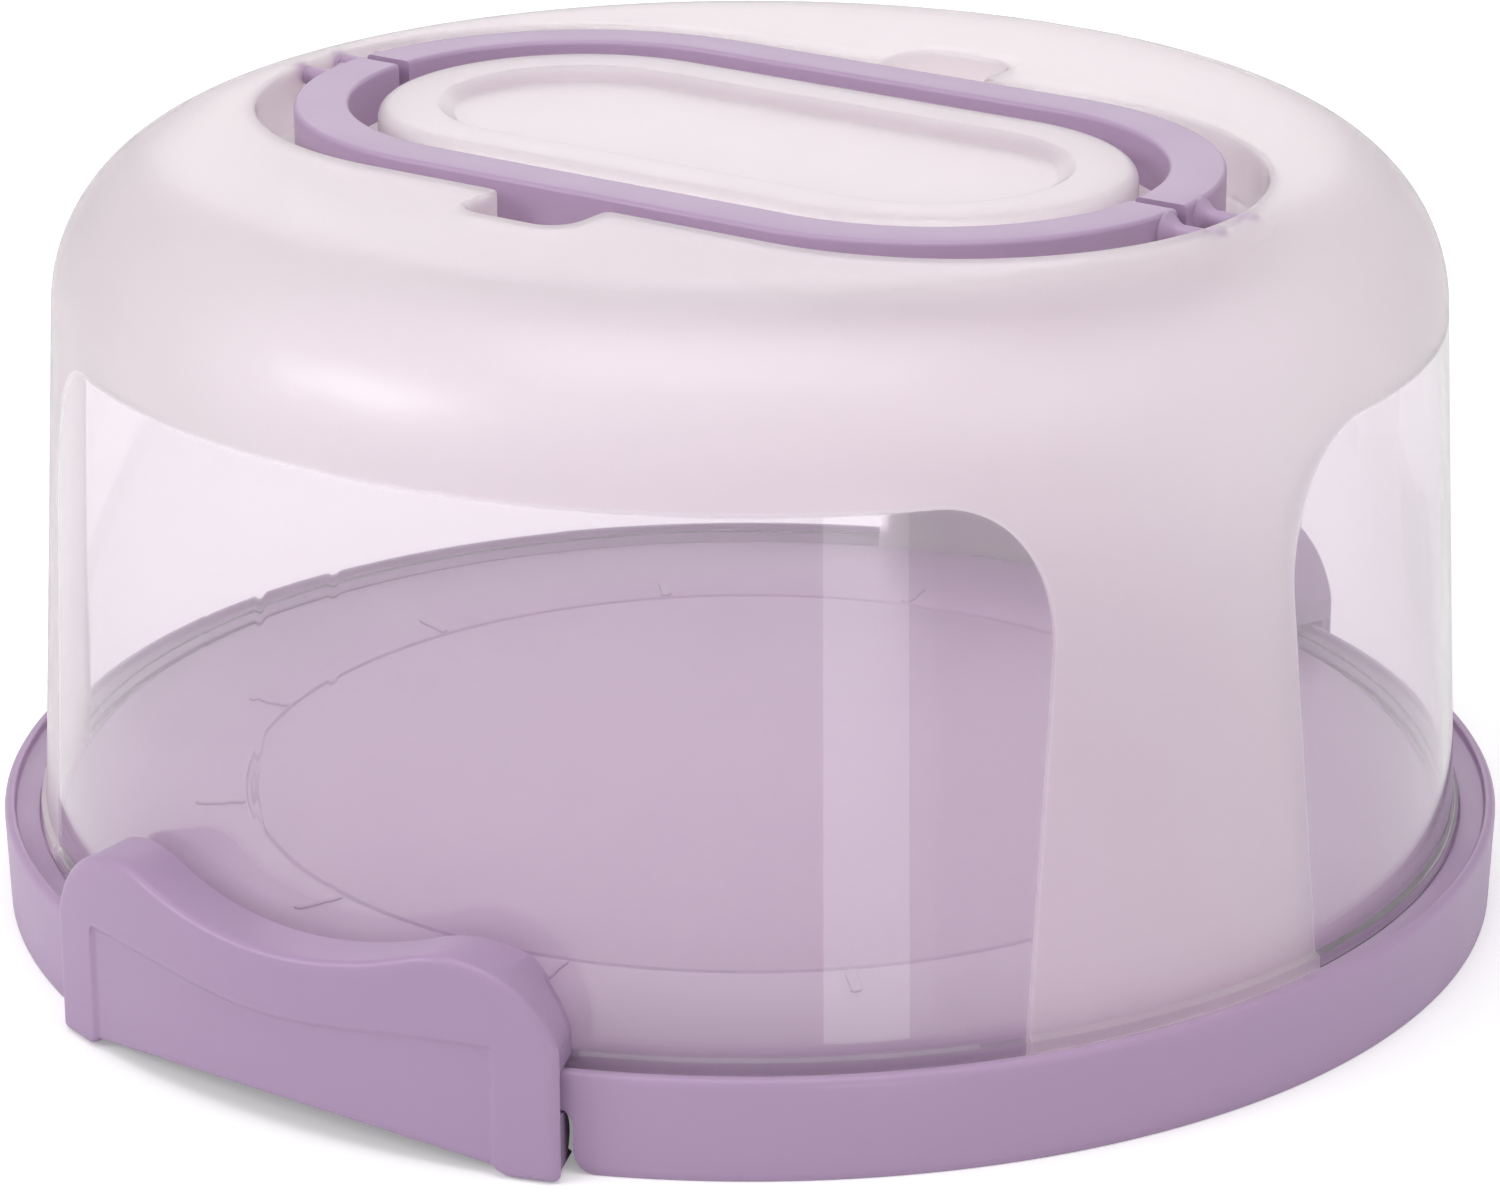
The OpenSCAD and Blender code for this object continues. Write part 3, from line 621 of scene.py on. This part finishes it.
def tray_rings():
    """Rings from the cake floor's middle outwards over the rim, down the skirt and back underneath."""
    az, low = skirt_edge()
    c, s = np.cos(az), np.sin(az)
    ring = lambda r, z: np.stack([r * c, r * s, z + 0 * c], 1)
    bed = FLOOR_Z - RING_DEPTH
    top = rounded([(3, FLOOR_Z, 0), (RING_IN, FLOOR_Z, 0.2), (107.6, bed, 0.1), (108.4, bed, 0.1),
                   (RING_OUT, FLOOR_Z, 0.2), (147.4, FLOOR_Z, 2.4), (CHAN_IN, CHANNEL_Z, 0.4),
                   (CHAN_OUT, CHANNEL_Z, 0.5), (CHAN_OUT, LEDGE_LOW, 0.3), (LEDGE_OUT, LEDGE_Z, 0.5),
                   (LIP_IN, RIM_Z, 0.5), (BASE_R, RIM_Z, 1.5), (BASE_R, 19.0, 0)], 4)
    rows = [ring(r, z) for r, z in top]
    thick = TRAY_WALL
    for k in (0.75, 0.5, 0.25, 0.08):
        z = low + 0.4 + k * (19.0 - low - 0.4)
        rows.append(ring(BASE_R - 0.6 * (1 - z / 19.8), z))
    r_low = BASE_R - 0.6 * (1 - low / 19.8)
    rows += [ring(r_low, low + 0.4), ring(r_low - 0.15, low + 0.12), ring(r_low - 0.5, low),
             ring(r_low - thick + 0.4, low), ring(r_low - thick, low + 0.4)]
    for k in (0.3, 0.6, 1.0):
        z = low + 0.4 + k * (16.6 - low - 0.4)
        rows.append(ring(BASE_R - thick - 0.6 * (1 - z / 19.8), z))
    under = rounded([(157.4, 17.2, 0), (155.2, 17.2, 0.4), (154.8, 15.3, 0.5), (145.8, 15.3, 0.6),
                     (143.8, FLOOR_UNDER, 0.8), (3, FLOOR_UNDER, 0)], 3)
    rows += [ring(r, z) for r, z in under]
    return np.array(rows)


def tray_ribs():
    """Ring ribs, radial ribs, bay walls and hinge lugs under the tray."""
    parts = []
    for r in RIB_RINGS:
        mid = (r - RIB_HALF, RIB_TOP, 0)
        prof = rounded([mid, (r - 1.8, RIB_TOP, 0), (r - 1.7, 3.0, 0.4),
                        (r - 0.1, 3.0, 0.4), (r, RIB_TOP, 0), mid], 3)
        parts.append((revolve(prof, 180), True))
    ring_parts = len(parts)
    for k in range(12):
        parts.append((turned(block((59, -RIB_HALF, 5.0), (137, RIB_HALF, RIB_TOP)), k * 30), True))
    for s in (0, 180):
        for m in (-1, 1):
            wall = block((-1, -158.3, 5.1), (1, -137.3, 16.6))
            parts.append((turned(wall, s + m * (BAY_DEG + 2)), True))
        for x in (-LUG_X, LUG_X):
            parts.append((turned(lug(x), s), True))
    return parts, ring_parts


def lug(x):
    """A hinge lug: an upright block that ends in a round eye about the hinge line."""
    t = np.radians(np.linspace(101.8, 360, 24))
    eye = np.stack([EYE_R * np.cos(t), EYE_R * np.sin(t)], 1)
    outline = np.concatenate([[(4.6, 9.5), (-0.9, 9.5), (-0.9, 4.5)], eye])
    y, z = -HINGE_Y + outline[:, 0], HINGE_Z + outline[:, 1]
    mid = np.array([y.mean(), z.mean()])

    def row(px, k):
        return np.stack([np.full(len(y), px), mid[0] + (y - mid[0]) * k, mid[1] + (z - mid[1]) * k], 1)

    lo, hi = x - LUG_HALF, x + LUG_HALF
    return np.array([row(lo, 0.02), row(lo, 1), row(hi, 1), row(hi, 0.02)])


def strokes():
    """Twelve low raised bars on the cake floor, just outside the ring, each bent a little like an S.

    A bar's outline is two straight runs and two half circles in (u, v), v outwards. It is bent
    by u = u - 0.12 v + 0.25 sin(pi v / 5.4) and laid at radius STROKE_R + v, every 30 degrees.
    """
    out = []
    run = np.linspace(-STROKE_RUN, STROKE_RUN, 9)
    rims = ((0.02, -0.1), (1.2, -0.1), (1.15, 0.28), (1.05, 0.36), (0.9, 0.4), (0.02, 0.4))
    for k in range(STROKES):
        az = math.radians(15 + 30 * k)
        c, s = math.cos(az), math.sin(az)
        rows = []
        for w, over in rims:
            far = arc(0, STROKE_RUN, w, 0, 180, 9)[1:-1]
            near = arc(0, -STROKE_RUN, w, 180, 360, 9)[1:-1]
            sides = [np.stack([np.full(9, w), run], 1), np.stack([np.full(9, -w), run[::-1]], 1)]
            u, v = np.concatenate([sides[0], far, sides[1], near]).T
            u = u - 0.12 * v + 0.25 * np.sin(math.pi * v / 5.4)
            r = STROKE_R + v
            rows.append(lifted(np.stack([r * c - u * s, r * s + u * c], 1), FLOOR_Z + over))
        out.append((np.array(rows), True))
    return out


rib_parts, ring_count = tray_ribs()
tray = [(tray_rings(), True), *rib_parts]
piece("base_tray_shell", tray, "base", LILAC_TRAY, "base_tray",
      capped=(0, *range(1 + ring_count, len(tray))))
piece("floor_strokes", strokes(), "base", LILAC_TRAY, "base_tray", capped=range(STROKES))


# Side clips


def wave(drop, x):
    """Height and outward normal of the wavy top edge at x, lowered by drop along its normal.

    Two crest arcs and one dip arc; the dip's radius makes the three meet smoothly.
    """
    cr, cz, dz = CREST_R - drop, CREST_Z - CREST_R, DIP_Z
    rise = CREST_Z - DIP_Z
    dr = (CREST_X**2 + rise**2) / (2 * rise) - CREST_R
    dzc = dz + dr
    meet = CREST_X * dr / (dr + CREST_R)
    ax = np.abs(x)
    dip = ax < meet
    dd = dr + drop
    z_dip = dzc - np.sqrt(np.maximum(dd * dd - x * x, 0))
    off = np.clip(ax - CREST_X, -cr, cr * 0.9999)
    z_crest = cz + np.sqrt(cr * cr - off * off)
    z = np.where(dip, z_dip, z_crest)
    nx = np.where(dip, -x / dd, np.sign(x) * off / cr)
    nz = np.sqrt(1 - np.clip(nx, -1, 1) ** 2)
    return z, nx, nz


def arch(x, grow, low):
    """Height and outward normal of the lower edge at x, raised by grow along its normal.

    One long arc over the middle, a small arc as a step down at each leg, then level at low.
    """
    ax = np.abs(x)
    rb, rs = ARCH_R + grow, ARCH_STEP + grow
    z_mid = ARCH_Z - ARCH_R + np.sqrt(rb * rb - x * x)
    zc = ARCH_Z - ARCH_R + math.sqrt(ARCH_R**2 - ARCH_END**2) - ARCH_STEP
    off = np.clip(ax - ARCH_END, 0, rs * 0.9999)
    z_side = zc + np.sqrt(rs * rs - off * off)
    z = np.where(ax < ARCH_END, z_mid, z_side)
    nx = np.where(ax < ARCH_END, x / rb, np.sign(x) * off / rs)
    nz = np.sqrt(1 - nx**2)
    flat = z < low
    return np.where(flat, low, z), np.where(flat, 0, -nx), np.where(flat, -1, -nz)


def face_y(x, inset=0.0):
    """Plan arc of the clip's face."""
    r = FACE_R - inset
    return FACE_CY - np.sqrt(r * r - x * x)


def eased(t):
    """0 below t = 0, 1 above t = 1, and t t (3 - 2 t) between."""
    t = np.clip(t, 0, 1)
    return t * t * (3 - 2 * t)


def recess(x):
    """Depth of the face recess at x: 0.8 mm, falling to nothing over 1.7 mm at both ends."""
    return 0.8 * eased((50.5 - np.abs(x)) / 1.7)


def clip_parts():
    """The clip as a face grid, rings round its edge to the hooks and back, and an inner face grid.

    The face grid lies inside the outline by the edge radius. Each ring of the edge moves the
    outline along its normal by sin a and inwards by 1 - cos a times that radius. The side then
    runs to the hook radius, the neck or the knuckle, whichever stands behind that point. Two
    hinge bars and two ribs follow.
    """
    f = CLIP_ROUND
    edge_x = np.array([48.8, 49.2, 49.65, 50.1, 50.55])
    xs = np.concatenate([-np.linspace(60.4, 51.0, 16), -edge_x[::-1], np.linspace(-48.2, 48.2, 90),
                         edge_x, np.linspace(51.0, 60.4, 16)])
    zt, tnx, tnz = wave(f, xs)
    zb, bnx, bnz = arch(xs, f, 0.3 + f)
    # the recess's upper edge: low in the middle, a half cosine up to 43 mm, level beyond
    rise = 3.1 * (1 - np.cos(np.pi * np.minimum(np.abs(xs) / 43, 1))) / 2
    ridge = np.minimum(np.where(np.abs(xs) < CHEEK_X, 24.2 + rise, 25.4), zt - 1.5)
    # rows of the face: heights at its sides, close together where the side's depth changes
    first, last = zb[-1], ridge[-1] - 1.3
    stops = np.array([first, 2.3, 3, 4.5, 6, 7, 8, 9.5, 11, 12, 12.5, 12.78, 12.86, 15, 17.5, 20, 21.85, 21.95,
                      23, last])
    below = zb + (ridge - 1.3 - zb) * ((stops - first) / (last - first))[:, None]
    step = ridge + np.array([-1.0, -0.7, -0.4, -0.1])[:, None]
    above = ridge + 0.25 + (zt - ridge - 0.25) * np.linspace(0, 1, 12)[:, None]
    z = np.concatenate([below, step, above])
    x = np.broadcast_to(xs, z.shape)
    deep = recess(x) * eased((ridge + 0.25 - z) / 1.5)
    face = np.stack([x, face_y(x, deep), z], -1)
    # the outline, counted from the lower left corner along the bottom, up, back over the top and down
    n_turn = 5

    def turn(x, z, a0, a1):
        steps = np.radians(np.linspace(a0, a1, n_turn))[1:-1]
        return [(x, z, math.cos(a), math.sin(a)) for a in steps]

    loop = [(xs[i], zb[i], bnx[i], bnz[i]) for i in range(len(xs))]
    loop += turn(xs[-1], zb[-1], -90, 0)
    sides = z[:, -1]
    loop += [(xs[-1], s, 1.0, 0.0) for s in sides]
    loop += [(xs[i], zt[i], tnx[i], tnz[i]) for i in range(len(xs) - 1, -1, -1)]
    loop += [(xs[0], s, -1.0, 0.0) for s in sides[::-1]]
    loop += turn(xs[0], zb[0], 180, 270)
    lx, lz, nx, nz = np.array(loop).T
    side = np.abs(nx) > 0.99
    rings = []
    dip = np.where((lz < 24) & (nz < 0), recess(lx), 0.0)
    for a in np.radians([0, 18, 36, 54, 72, 90]):
        px, pz = lx + f * math.sin(a) * nx, lz + f * math.sin(a) * nz
        rings.append(np.stack([px, face_y(px, dip) + (f - dip) * (1 - math.cos(a)), pz], 1))
    ox, oz = lx + f * nx, lz + f * nz
    back = np.clip((np.abs(ox) - CHEEK_X) / 8, 0, 1)
    y0 = face_y(ox) + f
    # where each point of the side ends: the hooks follow the lid's wall up to HOOK_X
    reach = -np.sqrt(HOOK_R**2 - np.minimum(np.abs(ox), HOOK_X) ** 2)
    hook = -math.sqrt(HOOK_R**2 - HOOK_X**2)
    neck = np.full(len(ox), NECK_Y)
    knob = -HINGE_Y + np.sqrt(np.maximum(KNUCKLE**2 - (oz - HINGE_Z) ** 2, 0))
    by_hinge = oz < HINGE_Z + KNUCKLE
    cheek = np.where(oz > HOOK_Z, hook, np.where(by_hinge, np.maximum(knob, neck), neck))
    bottom = nz < -0.5
    panel = face_y(ox, CLIP_WALL)
    end = np.where(bottom, np.where(np.abs(ox) > 58, neck, panel), np.where(side, cheek, reach))
    end = np.maximum(end, y0 + 0.3)
    # the inner outline
    ix = np.clip(np.where(bottom, ox, ox - 2.8 * nx), -59.2, 59.2)
    iz = np.where(bottom, oz, oz - SHELF * nz)

    def shifted(px, y):
        """The cheeks lean inwards by CHEEK_RUN for each millimetre behind the face."""
        behind = np.maximum(y - face_y(np.minimum(np.abs(ox), CLIP_HALF)), 0)
        return px - np.sign(px) * back * CHEEK_RUN * behind

    for k in (0.25, 0.5, 0.75, 0.97):
        y = y0 + (end - y0) * k
        rings.append(np.stack([shifted(ox, y), y, oz], 1))
    for k in (0.12, 0.5, 0.88):
        px, pz = ox + (ix - ox) * k, oz + (iz - oz) * k
        rings.append(np.stack([shifted(px, end), end, pz], 1))
    inner_y = np.minimum(face_y(ix, CLIP_WALL), end)
    for k in (0.97, 0.6, 0.3):
        y = inner_y + (end - inner_y) * k
        rings.append(np.stack([shifted(ix, y), y, iz], 1))
    px = shifted(ix, inner_y)
    rings.append(np.stack([px, face_y(px, CLIP_WALL), iz], 1))
    parts = [(face, False), (np.array(rings), True)]
    # inner face: the same columns between the inner outline's bottom and top
    nb = len(xs)
    inner = rings[-1][:, [0, 2]]
    top_start = nb + (n_turn - 2) + len(sides)
    low, top = inner[:nb], inner[top_start : top_start + nb][::-1]
    ks = (sides - sides[0]) / (sides[-1] - sides[0])
    gx = low[:, 0] + (top[:, 0] - low[:, 0]) * ks[:, None]
    gz = low[:, 1] + (top[:, 1] - low[:, 1]) * ks[:, None]
    parts.append((np.stack([gx, face_y(gx, CLIP_WALL), gz], -1), False))
    for s in (-1, 1):
        prof = np.array([(0.05, 46.5), (2.1, 46.5), (HINGE_R, 46.9), (HINGE_R, 59.0), (0.05, 59.0)])
        g = revolve(prof, 32)
        parts.append((np.stack([s * g[..., 2], -HINGE_Y + g[..., 0], HINGE_Z + g[..., 1]], -1), True))
    for x in (-28, 28):
        parts.append((block((x - 0.8, -160.0, 25.5), (x + 0.8, -150.2, 39.0)), True))
    return parts


front_clip = clip_parts()
rear_clip = [(turned(g, 180), w) for g, w in front_clip]
bars_and_ribs = range(3, len(front_clip))
piece("clip_shell_front", front_clip, "clip_a", LILAC_CLIP, "clip_front", capped=bars_and_ribs)
piece("clip_shell_rear", rear_clip, "clip_b", LILAC_CLIP, "clip_rear", capped=bars_and_ribs)


# Camera, light and floor


def camera():
    """The photograph's camera, at CAM_DIST from a point on the axis."""
    cam = bpy.data.cameras.new("camera")
    obj = bpy.data.objects.new("camera", cam)
    bpy.context.scene.collection.objects.link(obj)
    el, az = math.radians(CAM_ELEVATION), math.radians(CAM_TURN)
    target = Vector((0, 0, CAM_Z))
    away = Vector((math.sin(az) * math.cos(el), -math.cos(az) * math.cos(el), math.sin(el)))
    obj.location = target + away * CAM_DIST
    obj.rotation_euler = (-away).to_track_quat("-Z", "Y").to_euler()
    cam.sensor_width = SENSOR_MM
    cam.lens = FOCAL_PX / PHOTO_W * SENSOR_MM
    cam.clip_start, cam.clip_end = 0.05, 20
    bpy.context.scene.camera = obj


def lamp(name, place, aim, size, watts):
    """A soft white rectangular area lamp at place, facing aim."""
    data = bpy.data.lights.new(name, "AREA")
    data.shape = "RECTANGLE"
    data.size, data.size_y = size
    data.energy = watts
    obj = bpy.data.objects.new(name, data)
    bpy.context.scene.collection.objects.link(obj)
    obj.location = place
    obj.rotation_euler = (Vector(aim) - Vector(place)).to_track_quat("-Z", "Y").to_euler()


def around(az, radius, z):
    """A point at a radius and height round the object, az in degrees from +X towards +Y."""
    return (radius * math.cos(math.radians(az)), radius * math.sin(math.radians(az)), z)


def floor():
    """A wide pale flat floor, with a little glow for the camera and through glass, so that it shows white."""
    mesh = bpy.data.meshes.new("floor")
    s = 6.0
    mesh.from_pydata([(-s, -s, 0), (s, -s, 0), (s, s, 0), (-s, s, 0)], [], [(0, 1, 2, 3)])
    obj = bpy.data.objects.new("floor", mesh)
    bpy.context.scene.collection.objects.link(obj)
    m = bpy.data.materials.new("pale_floor")
    m.use_nodes = True
    p = m.node_tree.nodes["Principled BSDF"]
    p.inputs["Base Color"].default_value = (0.95, 0.95, 0.95, 1)
    p.inputs["Roughness"].default_value = 0.9
    p.inputs["Specular IOR Level"].default_value = 0.0
    path = m.node_tree.nodes.new("ShaderNodeLightPath")
    seen = maths(m.node_tree, "MAXIMUM", path.outputs["Is Camera Ray"], path.outputs["Is Transmission Ray"])
    p.inputs["Emission Color"].default_value = (1, 1, 1, 1)
    m.node_tree.links.new(maths(m.node_tree, "MULTIPLY", seen, FLOOR_GLOW), p.inputs["Emission Strength"])
    mesh.materials.append(m)


def glow_card(name, az0, az1, level):
    """A strip of light just over the floor that the clear window mirrors as an upright bar.

    For the wall points at both azimuths the camera's view ray is turned back by the wall,
    r = d - 2 (d.n) n in plan, and the strip lies between the two turned rays, 1 mm over the floor.
    It is seen in reflections only.
    """
    wall_r, over = 0.150, 0.001
    eye = np.array(bpy.context.scene.camera.location[:2])
    corners = []
    for az in (az0, az1):
        n = np.array([math.cos(math.radians(az)), math.sin(math.radians(az))])
        d = wall_r * n - eye
        d /= np.hypot(*d)
        r = d - 2 * (d @ n) * n
        corners.append([(*(wall_r * n + r * s), over) for s in (0.07, 0.62)])
    (a, b), (c, e) = corners
    mesh = bpy.data.meshes.new(name)
    mesh.from_pydata([a, b, e, c], [], [(0, 1, 2, 3)])
    obj = bpy.data.objects.new(name, mesh)
    bpy.context.scene.collection.objects.link(obj)
    m = bpy.data.materials.new(name)
    m.use_nodes = True
    p = m.node_tree.nodes["Principled BSDF"]
    p.inputs["Base Color"].default_value = (0, 0, 0, 1)
    p.inputs["Emission Color"].default_value = (1, 1, 1, 1)
    p.inputs["Emission Strength"].default_value = level
    mesh.materials.append(m)
    obj.visible_camera = obj.visible_diffuse = obj.visible_transmission = obj.visible_shadow = False


def world():
    """White to the camera and through glass; a plain level for reflections and for the light itself."""
    w = bpy.data.worlds.new("studio")
    bpy.context.scene.world = w
    w.use_nodes = True
    t = w.node_tree
    bg = t.nodes["Background"]
    path = t.nodes.new("ShaderNodeLightPath")
    seen = maths(t, "MAXIMUM", path.outputs["Is Camera Ray"], path.outputs["Is Transmission Ray"])
    bg.inputs["Color"].default_value = (1, 1, 1, 1)
    t.links.new(maths(t, "ADD", SKY, maths(t, "MULTIPLY", seen, 1 - SKY)), bg.inputs["Strength"])


camera()
floor()
world()
glow_card("bar_card", 310.0, 316.2, 3.2)
glow_card("edge_card", 316.2, 318.1, 1.2)
lamp("key_left", around(240, 1.3, 0.8), (0, 0, 0.1), (0.6, 0.4), 5)
lamp("fill_right", around(350, 1.5, 0.9), (0, 0, 0.08), (0.8, 0.9), 2)
lamp("top_soft", (0.15, -0.25, 1.7), (0, 0, 0.1), (1.4, 1.2), 10.5)
lamp("back_soft", around(125, 1.5, 0.62), (0, 0, 0.03), (1.2, 0.35), 1.6)

scene = bpy.context.scene
scene.view_settings.view_transform = "Standard"
